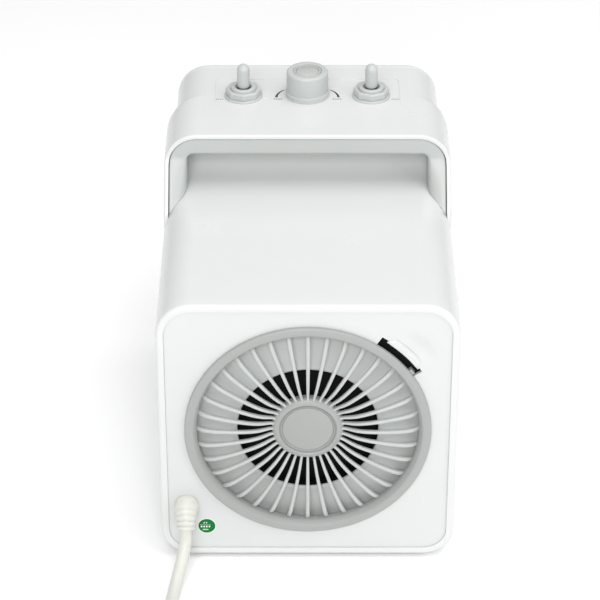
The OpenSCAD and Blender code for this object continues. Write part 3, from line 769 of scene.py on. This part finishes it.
# Catmull-Rom rows between the given ones
def smoothRows(rows, steps):
    result = []
    for i in range(len(rows) - 1):
        p0, p1, p2, p3 = rows[max(i - 1, 0)], rows[i], rows[i + 1], rows[min(i + 2, len(rows) - 1)]
        for k in range(steps):
            t = k / steps
            result.append([0.5 * (2 * b + (c - a) * t + (2 * a - 5 * b + 4 * c - d) * t * t
                                  + (3 * b - a - 3 * c + d) * t ** 3) for a, b, c, d in zip(p0, p1, p2, p3)])
    result.append(list(rows[-1]))
    return result


# repeats the piece's own mesh about the grille's axis
def ringTree(material):
    tree = bpy.data.node_groups.new("ringOfRibs", "GeometryNodeTree")
    face = tree.interface
    face.new_socket("Geometry", in_out="INPUT", socket_type="NodeSocketGeometry")
    count = face.new_socket("Count", in_out="INPUT", socket_type="NodeSocketInt")
    height = face.new_socket("Axis Height", in_out="INPUT", socket_type="NodeSocketFloat")
    face.new_socket("Geometry", in_out="OUTPUT", socket_type="NodeSocketGeometry")
    enter = addNode(tree, "NodeGroupInput")
    leave = addNode(tree, "NodeGroupOutput")
    axis = addNode(tree, "ShaderNodeCombineXYZ", None, {"Z": enter.outputs["Axis Height"]})
    down = addNode(tree, "ShaderNodeVectorMath", {"operation": "SCALE"}, {0: axis.outputs[0], "Scale": -1.0})
    centred = addNode(tree, "GeometryNodeTransform", None,
                      {"Geometry": enter.outputs["Geometry"], "Translation": down.outputs[0]})
    spots = addNode(tree, "GeometryNodePoints", None, {"Count": enter.outputs["Count"]})
    index = addNode(tree, "GeometryNodeInputIndex")
    share = addNode(tree, "ShaderNodeMath", {"operation": "DIVIDE"},
                    {0: index.outputs[0], 1: enter.outputs["Count"]})
    angle = addNode(tree, "ShaderNodeMath", {"operation": "MULTIPLY"}, {0: share.outputs[0], 1: 2 * math.pi})
    turn = addNode(tree, "ShaderNodeCombineXYZ", None, {"Y": angle.outputs[0]})
    placed = addNode(tree, "GeometryNodeInstanceOnPoints", None,
                     {"Points": spots.outputs[0], "Instance": centred.outputs[0], "Rotation": turn.outputs[0]})
    real = addNode(tree, "GeometryNodeRealizeInstances", None, {"Geometry": placed.outputs[0]})
    raised = addNode(tree, "GeometryNodeTransform", None,
                     {"Geometry": real.outputs[0], "Translation": axis.outputs[0]})
    coated = addNode(tree, "GeometryNodeSetMaterial", None,
                     {"Geometry": raised.outputs[0], "Material": material})
    tree.links.new(coated.outputs[0], leave.inputs[0])
    return tree, count.identifier, height.identifier


def repeatAround(piece, count, height, material):
    tree, countKey, heightKey = ringTree(material)
    modifier = piece.modifiers.new("ring", "NODES")
    modifier.node_group = tree
    modifier[countKey] = count
    modifier[heightKey] = height
    return finishMesh(applyModifiers(piece), 45)


# the ribs take the paler grey: painted highlight on their crests
ribs = repeatAround(buildRib(), grille["ribs"], grilleZ, satinGreyPaintedLight)
lug = sector("lug", grille["lugInner"], grille["lugOuter"], grille["lugStart"], grille["lugEnd"],
             panelY - 1.0 * mm, panelY + 2.5 * mm, 6)
use(ribs, satinGreyPaintedLight, "grille", None)
rearGrille = finishMesh(joined("rearGrille", [buildRing(), buildHub(), lug]), 38)
use(rearGrille, satinAbsGrey, "grille", ["rear_grille"])
hubFaceY = hubLow.y + 0.35 * mm
discEdge = grille["groove"] - 1.6 * mm
hubProfile = [(axisGap * mm, hubFaceY)] + fromCorner(discEdge, hubFaceY, [(-0.8, 0), (0, 0.2), (0, 1.2)]) \
    + [(axisGap * mm, hubFaceY + 1.2 * mm)]
hubFace = latheY("hubFace", hubProfile, grilleZ)
use(hubFace, satinAbsGrey, "grille", ["hub_disc"])
print("grille built")


# intake funnel and filter
# bell mouth: a moat behind the ring climbs in a soft curve to the rounded lip of the opening
def buildFunnel():
    outline = [(44.8, 4.2), (44.95, 3.5), (45.4, 3.0), (46.0, 2.75), (46.8, 2.75), (47.4, 3.05), (48.2, 3.4),
               (52, 4.3), (58, 5.7), (64, 7.3), (68, 8.5), (71, 9.1), (73.0, 9.1), (74.1, 8.6), (74.2, 3.6),
               (77, 3.6), (77, 5.2), (76, 5.2), (76, 10.8), (72, 10.8), (58, 7.4), (47, 5.2), (46.6, 11.4),
               (44.8, 11.4)]
    return latheY("intakeFunnel", [(r * mm, rearY + y * mm) for r, y in outline], grilleZ, 224)


use(buildFunnel(), funnelAbsGrey, "root", ["inlet_funnel"])
setMaterial(nodes["filter_mesh"], blackNylonAndPaintedShade)
# black sleeve lining the opening's inner wall: painted shade inside the intake
paintedShadeSleeve = latheY("paintedShadeSleeve", [(r * mm, rearY + y * mm) for r, y in
                                 ((44.9, 4.1), (44.9, 11.2), (44.6, 11.2), (44.6, 4.1))], grilleZ, 160)
use(paintedShadeSleeve, blackNylonAndPaintedShade, "root", None)


# latch
latch = {"inner": 83.2 * mm, "outer": 88.4 * mm, "start": 36.2, "end": 55.6, "rise": 1.9 * mm,
         "stemInner": 84.2 * mm, "stemOuter": 85.4 * mm, "stemStart": 43, "stemEnd": 49, "stemDepth": 2.3 * mm}


# a tapered finger tab with a stepped face
def buildLatch():
    low, high = panelY - latch["rise"], panelY - 0.15 * mm
    points, faces = [], []
    steps = 36
    section = [(0.0, 0.85), (0.05, 0.25), (0.16, 0.0), (0.42, 0.06), (0.46, 0.3), (0.54, 0.32), (0.72, 0.5),
               (0.92, 0.78), (1.0, 0.95), (1.0, 1.0), (0.0, 1.0)]
    for i in range(steps + 1):
        t = i / steps
        a = math.radians(latch["start"] + (latch["end"] - latch["start"]) * t)
        taper = math.sin(math.pi / 2 * min(1.0, t * 6)) * (1 - 0.55 * max(0.0, (t - 0.8) / 0.2) ** 1.6)
        lift = min(1.0, t * 7) * min(1.0, (1 - t) * 9)
        for across, deep in section:
            r = latch["inner"] + (latch["outer"] - latch["inner"]) * across * max(0.12, taper)
            y = high - (high - low) * (1 - deep) * max(0.1, lift)
            points.append((r * math.sin(a), y, grilleZ + r * math.cos(a)))
    n = len(section)
    for i in range(steps):
        for k in range(n):
            m = (k + 1) % n
            faces.append((i * n + k, i * n + m, (i + 1) * n + m, (i + 1) * n + k))
    faces += [tuple(range(n)), tuple(reversed(range(steps * n, (steps + 1) * n)))]
    body = finishMesh(fromFaces("latchTab", points, faces), 40)
    stem = sector("stem", latch["stemInner"], latch["stemOuter"], latch["stemStart"], latch["stemEnd"],
                  panelY - 0.5 * mm, panelY + latch["stemDepth"], 6)
    return finishMesh(joined("latchTab", [body, stem]), 40)


use(buildLatch(), panelAbsWhite, "latch", ["latch_tab"])


# controls
knobLow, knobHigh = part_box("knob")
knobX, knobY = 0.0, (knobLow.y + knobHigh.y) / 2
knob = {"radius": 14.3 * mm, "base": 14.7 * mm, "disc": 7.6 * mm}


def buildKnob():
    z0, z1 = knobLow.z, knobHigh.z
    r, base, disc = knob["radius"], knob["base"], knob["disc"]
    profile = [(axisGap * mm, z0)] + fromCorner(base, z0, [(-0.3, 0), (0, 0.3), (0, 3.4), (-0.35, 3.9)])
    profile += fromCorner(r, z0, [(-0.25, 4.1), (-0.15, 4.6)]) + [(r - 0.3 * mm, z1 - 1.8 * mm)]
    profile += [(r - 2.0 * mm + 1.7 * mm * math.cos(a), z1 - 1.8 * mm + 1.8 * mm * math.sin(a))
                for a in (math.pi / 12 * k for k in range(1, 7))]
    profile += fromCorner(disc, z1, [(2.5, 0), (2.2, -0.25), (2.0, -1.1), (1.5, -1.1), (1.3, -0.4),
                                     (0.5, -0.35), (0.3, -1.2)])
    profile.append((axisGap * mm, z1 - 1.2 * mm))
    return latheZ("knobBody", profile, knobX, knobY)


# small raised dots in rings on the knob's end
def buildDisc():
    top = knobHigh.z - 0.35 * mm
    plate = latheZ("knobDisc", [(axisGap * mm, top), (knob["disc"] - 0.4 * mm, top),
                                (knob["disc"], top - 0.4 * mm), (knob["disc"], top - 1.0 * mm),
                                (axisGap * mm, top - 1.0 * mm)], knobX, knobY)
    work = bmesh.new()
    work.from_mesh(plate.data)
    spots = [(0, 0)] + [(ring * 2.0 * mm, 360 / (6 * ring) * k) for ring in (1, 2, 3) for k in range(6 * ring)]
    for radius, turn in spots:
        x, y = radius * math.cos(math.radians(turn)), radius * math.sin(math.radians(turn))
        bmesh.ops.create_uvsphere(work, u_segments=8, v_segments=5, radius=0.55 * mm,
                                  matrix=Matrix.Translation((knobX + x, knobY + y, top - 0.15 * mm)))
    work.to_mesh(plate.data)
    work.free()
    return finishMesh(plate, 60)


# the knob takes the paler grey as painted light
use(buildKnob(), satinGreyPaintedLight, "knob_body", ["knob"])
use(buildDisc(), discAbsGrey, "knob_body", ["knob_disc"])

toggle = {"flange": 12.8 * mm, "nut": 12.2 * mm, "nutSides": 8, "ring": 8.5 * mm, "bore": 5.3 * mm,
          "lever": 4.3 * mm}


def buildCollar(name, node):
    low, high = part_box(node)
    x, y = (low.x + high.x) / 2, (low.y + high.y) / 2
    z0 = low.z
    f, c, b, sides = toggle["flange"], toggle["ring"], toggle["bore"], toggle["nutSides"]
    flange = [(b, z0)] + fromCorner(f, z0, [(-0.2, 0), (0, 0.3), (0, 1.4), (-0.6, 2.0), (-1.2, 2.1)])
    base = latheZ(name + "Flange", flange + [(b, z0 + 2.1 * mm)], x, y)
    # the nut's top is dished around the ring
    inside = b / toggle["nut"]
    levels = ((1, 2.1), (1, 6.0), (0.93, 6.75), (0.82, 6.75), (0.72, 5.6), (inside, 5.6), (inside, 2.1))
    turns = [2 * math.pi * k / sides for k in range(sides)]
    points = [(x + toggle["nut"] * s * math.cos(a), y + toggle["nut"] * s * math.sin(a), z0 + h * mm)
              for s, h in levels for a in turns]
    rows = len(levels)
    nut = fromFaces(name + "Nut", points, [
        (r * sides + k, r * sides + (k + 1) % sides,
         (r + 1) % rows * sides + (k + 1) % sides, (r + 1) % rows * sides + k)
        for r in range(rows) for k in range(sides)])
    finishMesh(nut, 15)
    bevel = nut.modifiers.new("soft", "BEVEL")
    bevel.width = 0.4 * mm
    bevel.segments = 3
    applyModifiers(nut)
    finishMesh(nut, 30)
    lip = [(b, z0 + 5.0 * mm)] + fromCorner(c, z0, [(0, 5.0), (0, 7.2), (-0.3, 7.8), (-0.9, 8.15)])
    ring = latheZ(name + "Ring", lip + fromCorner(b, z0, [(1.0, 8.15), (0.3, 7.8), (0, 6.9)]), x, y)
    return finishMesh(joined(name, [base, nut, ring]), 32)


def buildLever(name, node):
    low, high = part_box(node)
    x, y = (low.x + high.x) / 2, (low.y + high.y) / 2
    top, r = high.z, toggle["lever"]
    profile = [(axisGap * mm, low.z), (2.4 * mm, low.z), (2.6 * mm, top - 18.3 * mm),
               (4.1 * mm, top - 16.1 * mm), (r - 0.15 * mm, top - 14.7 * mm), (r, top - r - 1 * mm),
               (r, top - r)]
    profile += [(r * math.cos(a), top - r + r * math.sin(a)) for a in (math.pi / 20 * k for k in range(1, 10))]
    profile.append((axisGap * mm, top))
    return latheZ(name, profile, x, y, 48)


for side in ("left", "right"):
    use(buildCollar(side + "Collar", "toggle_collar_" + side), satinGreyPaintedLight, "root",
        ["toggle_collar_" + side])
    use(buildLever(side + "Lever", "toggle_lever_" + side), satinGreyPaintedLight, "toggle_" + side,
        ["toggle_lever_" + side])
    setMaterial(nodes["toggle_body_" + side], satinAbsGrey)
print("controls built")


# control panel and its printed marks
deckPanel = {"gap": 0.05 * mm, "corner": 2.4 * mm, "thickness": 2.1 * mm, "nearDrop": 0.02 * mm,
             "slope": 0.33 * mm}


# the panel is flush at the near edge and slopes gently below the deck towards the far one
def deckPanelHeight(y):
    share = (y - deckPanelLow.y) / (deckPanelHigh.y - deckPanelLow.y)
    return deckTop - deckPanel["nearDrop"] - deckPanel["slope"] * share


def buildDeckPanel():
    outline = deckOutline(deckPanel["gap"], deckPanel["corner"])
    n = len(outline)
    points = [(x, y, deckTop - deckPanel["thickness"]) for x, y in outline]
    points += [(x, y, deckPanelHeight(y)) for x, y in outline]
    faces = [(k, (k + 1) % n, n + (k + 1) % n, n + k) for k in range(n)]
    faces += [tuple(reversed(range(n))), tuple(range(n, 2 * n))]
    return finishMesh(fromFaces("deckPanel", points, faces))


# marks are dots, dashes and arcs only
def buildMarks():
    pieces = []

    def flatArc(cx, cy, inner, outer, start, end, steps=24):
        ring = []
        for lift in (-0.05 * mm, 0.06 * mm):
            for r in (inner, outer):
                for i in range(steps + 1):
                    a = math.radians(start + (end - start) * i / steps)
                    x, y = cx + r * math.cos(a), cy + r * math.sin(a)
                    ring.append((x, y, deckPanelHeight(y) + lift))
        n = steps + 1
        order = [0, 1, 3, 2]
        faces = [(order[k] * n + i, order[k] * n + i + 1,
                  order[(k + 1) % 4] * n + i + 1, order[(k + 1) % 4] * n + i)
                 for k in range(4) for i in range(steps)]
        faces += [tuple(o * n for o in order), tuple(o * n + steps for o in reversed(order))]
        pieces.append(finishMesh(fromFaces("mark", ring, faces)))

    for mirror in (1, -1):
        start, end = (180, 132) if mirror > 0 else (0, 48)
        for k in range(12):
            a0 = start + (end - start) * k / 12
            flatArc(knobX - mirror * 6 * mm, knobY - 4 * mm, 14.2 * mm, (15.8 - 0.08 * k) * mm,
                    a0, a0 + (end - start) / 12, 3)
        for k in range(4):
            flatArc(knobX + mirror * (17.6 + 1.6 * k) * mm, knobY - 6.6 * mm,
                    0.0001 * mm, 0.55 * mm, 0, 360, 10)
        for k in range(4):
            flatArc(knobX + mirror * (57.2 + 1.4 * k) * mm, knobY - 6.8 * mm,
                    0.0001 * mm, 0.45 * mm, 0, 360, 10)
    return finishMesh(joined("dialMarks", pieces))


use(buildDeckPanel(), glossyAbsWhite, "root", ["control_panel"])
use(buildMarks(), printedInk, "root", None)


# inspection sticker
sticker = {"radius": 6.0 * mm, "green": 5.5 * mm, "paper": 0.14 * mm,
           # height of a row in mm, its marks, their spacing, half width and half height
           "rows": [(2.6, 2, 1.5, 0.32, 0.45), (1.1, 9, 0.75, 0.22, 0.12), (-0.5, 4, 1.7, 0.5, 0.6),
                    (-2.9, 5, 0.75, 0.24, 0.42)]}


def buildSticker():
    low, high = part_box("qc_sticker")
    x, z = (low.x + high.x) / 2, (low.z + high.z) / 2
    y = panelY
    disc = latheY("sticker", [(axisGap * mm, y - sticker["paper"]), (sticker["green"], y - sticker["paper"]),
                              (5.55 * mm, y - 0.12 * mm), (5.55 * mm, y - 0.01 * mm),
                              (axisGap * mm, y - 0.01 * mm)], z, 64, x)
    border = latheY("stickerBorder", [(5.4 * mm, y - 0.12 * mm), (sticker["radius"], y - 0.12 * mm),
                                      (sticker["radius"], y - 0.01 * mm), (5.4 * mm, y - 0.01 * mm)], z, 64, x)
    marks = []
    for row, count, step, w, h in sticker["rows"]:
        for k in range(count):
            cx = x + ((k - (count - 1) / 2) * step - 0.9) * mm
            cz = z + row * mm
            pts = [(cx + sx * w * mm, yy, cz + sz * h * mm) for yy in (y - 0.19 * mm, y - 0.13 * mm)
                   for sx, sz in ((-1, -1), (1, -1), (1, 1), (-1, 1))]
            marks.append(fromFaces("tick", pts, [(0, 1, 2, 3), (7, 6, 5, 4), (0, 4, 5, 1), (1, 5, 6, 2),
                                                 (2, 6, 7, 3), (3, 7, 4, 0)]))
    return disc, finishMesh(joined("stickerMarks", [border] + marks))


stickerDisc, stickerMarks = buildSticker()
use(stickerDisc, laminatedGreen, "root", ["qc_sticker"])
use(stickerMarks, labelPaper, "root", None)


# front bezel and outlet
outlet = {"halfWidth": 71 * mm, "low": 26 * mm, "high": 172 * mm, "corner": 14 * mm, "slats": 15}


# the opening's outline, grown by a margin
def openingRow(grow, y, steps=14):
    corner = outlet["corner"] + grow
    return (y, roundedSection(outlet["halfWidth"] + grow, outlet["low"] - grow, outlet["high"] + grow,
                              corner, corner, steps))


def buildBezel():
    halfX, y0, y1 = bezelHigh.x, bezelLow.y, bezelHigh.y
    r, low = shell["frontCorner"], shell["frontLowCorner"]
    turn = 3.0 * mm

    def outer(inset, y):
        return (y, roundedSection(halfX - inset, floorToBody + inset, deckTop - inset, r - inset, low - inset))
    rows = [openingRow(0, y0 - 4 * mm), outer(3 * mm, y0 - 4 * mm), outer(3 * mm, y0), outer(0.2 * mm, y0),
            outer(0, y0 + 0.2 * mm), outer(0, y1 - turn)]
    rows += [outer(turn - turn * math.cos(a), y1 - turn + turn * math.sin(a))
             for a in (math.pi / 12 * k for k in range(1, 7))]
    rows += [openingRow(grow * mm, y1 - deep * mm)
             for grow, deep in ((2.2, 0), (1.4, 0.3), (0.5, 1.2), (0, 2.5))]
    return finishMesh(loft("frontBezel", rows, closedPath=True))


use(buildBezel(), glossyAbsWhite, "root", ["front_bezel"])


# louvres: one slat repeated upwards
def slatTree(material):
    tree = bpy.data.node_groups.new("rowOfSlats", "GeometryNodeTree")
    face = tree.interface
    face.new_socket("Geometry", in_out="INPUT", socket_type="NodeSocketGeometry")
    count = face.new_socket("Count", in_out="INPUT", socket_type="NodeSocketInt")
    pitch = face.new_socket("Pitch", in_out="INPUT", socket_type="NodeSocketFloat")
    face.new_socket("Geometry", in_out="OUTPUT", socket_type="NodeSocketGeometry")
    enter = addNode(tree, "NodeGroupInput")
    leave = addNode(tree, "NodeGroupOutput")
    step = addNode(tree, "ShaderNodeCombineXYZ", None, {"Z": enter.outputs["Pitch"]})
    line = addNode(tree, "GeometryNodeMeshLine", None,
                   {"Count": enter.outputs["Count"], "Offset": step.outputs[0]})
    placed = addNode(tree, "GeometryNodeInstanceOnPoints", None,
                     {"Points": line.outputs[0], "Instance": enter.outputs["Geometry"]})
    real = addNode(tree, "GeometryNodeRealizeInstances", None, {"Geometry": placed.outputs[0]})
    coated = addNode(tree, "GeometryNodeSetMaterial", None, {"Geometry": real.outputs[0], "Material": material})
    tree.links.new(coated.outputs[0], leave.inputs[0])
    return tree, count.identifier, pitch.identifier


def buildOutlet():
    low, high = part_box("outlet_grille")
    pitch = (outlet["high"] - outlet["low"]) / (outlet["slats"] + 1)
    z0, depth, thick = outlet["low"] + pitch, 9 * mm, 1.6 * mm
    halfX = outlet["halfWidth"] + 0.5 * mm
    outline = []
    for k in range(13):
        a = math.pi / 2 + math.pi * k / 12
        outline.append((high.y - depth + thick / 2 + thick / 2 * math.cos(a), thick / 2 * math.sin(a)))
    for k in range(13):
        a = -math.pi / 2 + math.pi * k / 12
        outline.append((high.y - 1.2 * mm - thick / 2 + thick / 2 * math.cos(a),
                        2.0 * mm + thick / 2 * math.sin(a)))
    n = len(outline)
    points = [(x, y, z0 + z - 1 * mm) for x in (-halfX, halfX) for y, z in outline]
    faces = [(k, (k + 1) % n, n + (k + 1) % n, n + k) for k in range(n)]
    faces += [tuple(reversed(range(n))), tuple(range(n, 2 * n))]
    slats = finishMesh(fromFaces("slats", points, faces), 40)
    tree, countKey, pitchKey = slatTree(darkOutlet)
    modifier = slats.modifiers.new("row", "NODES")
    modifier.node_group = tree
    modifier[countKey] = outlet["slats"]
    modifier[pitchKey] = pitch
    applyModifiers(slats)
    frameRing = loft("frameRing", [openingRow(grow * mm, high.y - deep * mm, 12)
                                   for grow, deep in ((0, 11), (0, 0.2), (2.8, 0.2), (2.8, 11))],
                     closedPath=True)
    bars = []
    for x in (-36 * mm, 0, 36 * mm):
        points = [(x + sx * 1.0 * mm, y, z) for z in (outlet["low"], outlet["high"])
                  for sx, y in ((-1, high.y - 11.4 * mm), (1, high.y - 11.4 * mm), (1, high.y - 8.4 * mm),
                                (-1, high.y - 8.4 * mm))]
        bars.append(fromFaces("bar", points, [(0, 1, 2, 3), (7, 6, 5, 4), (0, 4, 5, 1), (1, 5, 6, 2),
                                              (2, 6, 7, 3), (3, 7, 4, 0)]))
    return finishMesh(joined("outletGrille", [slats, frameRing] + bars), 40)


use(buildOutlet(), darkOutlet, "root", ["outlet_grille"])
print("front built")


# nodes that keep their CAD shape and only take a material
finishes = {
    glossyAbsWhite: ["base_plate"],
    mouldedRubber: ["feet"],
    zincSteel: ["base_screws", "motor_bracket", "motor", "motor_shaft", "bracket_screws", "thermal_cutouts",
                "thermostat_shaft"],
    blackNylonAndPaintedShade: ["tipover_housing", "tipover_plunger", "fan_shroud", "fan_impeller", "heater_duct",
                 "thermostat"],
    filledResin: ["element_frame"],
    firedCeramic: ["ceramic_bars"],
    rolledAluminium: ["radiator_fins"],
    solderMask: ["circuit_board"],
    panelAbsWhite: ["terminal_block"],
}
for material, names in finishes.items():
    for name in names:
        setMaterial(nodes[name], material)


# stage and light: powers in watts, the floor's half size in metres
studio = {"floor": "#FFFFFF", "floorReach": 6, "world": 0.48, "overhead": 19, "right": 7, "rear": 29}


def flatFinish(name, colour, roughness):
    material = bpy.data.materials.new(name)
    material.use_nodes = True
    shader = material.node_tree.nodes["Principled BSDF"]
    shader.inputs["Base Color"].default_value = linear(colour)
    shader.inputs["Roughness"].default_value = roughness
    return material


reach = studio["floorReach"]
floor = fromFaces("floor", [(-reach, -reach, 0), (reach, -reach, 0), (reach, reach, 0), (-reach, reach, 0)],
                  [(0, 1, 2, 3)])
setMaterial(floor, flatFinish("paperFloor", studio["floor"], 0.9))


def areaLight(name, place, aim, size, power):
    light = bpy.data.lights.new(name, "AREA")
    light.size = size
    light.energy = power
    lamp = bpy.data.objects.new(name, light)
    lamp.location = place
    lamp.rotation_euler = (Vector(aim) - Vector(place)).to_track_quat("-Z", "Y").to_euler()
    bpy.context.scene.collection.objects.link(lamp)


areaLight("overhead", (0.25, -0.1, 1.9), (0, 0, 0.1), 1.6, studio["overhead"])
areaLight("rightSoft", (1.5, -0.9, 1.2), (0, 0, 0.1), 1.1, studio["right"])
areaLight("rearFill", (-0.2, -2.0, 1.35), (0, 0, 0.15), 1.2, studio["rear"])
world = bpy.data.worlds.new("studio")
world.use_nodes = True
world.node_tree.nodes["Background"].inputs["Color"].default_value = (1, 1, 1, 1)
world.node_tree.nodes["Background"].inputs["Strength"].default_value = studio["world"]
bpy.context.scene.world = world
bpy.context.scene.view_settings.view_transform = "Standard"
bpy.context.scene.cycles.caustics_reflective = False
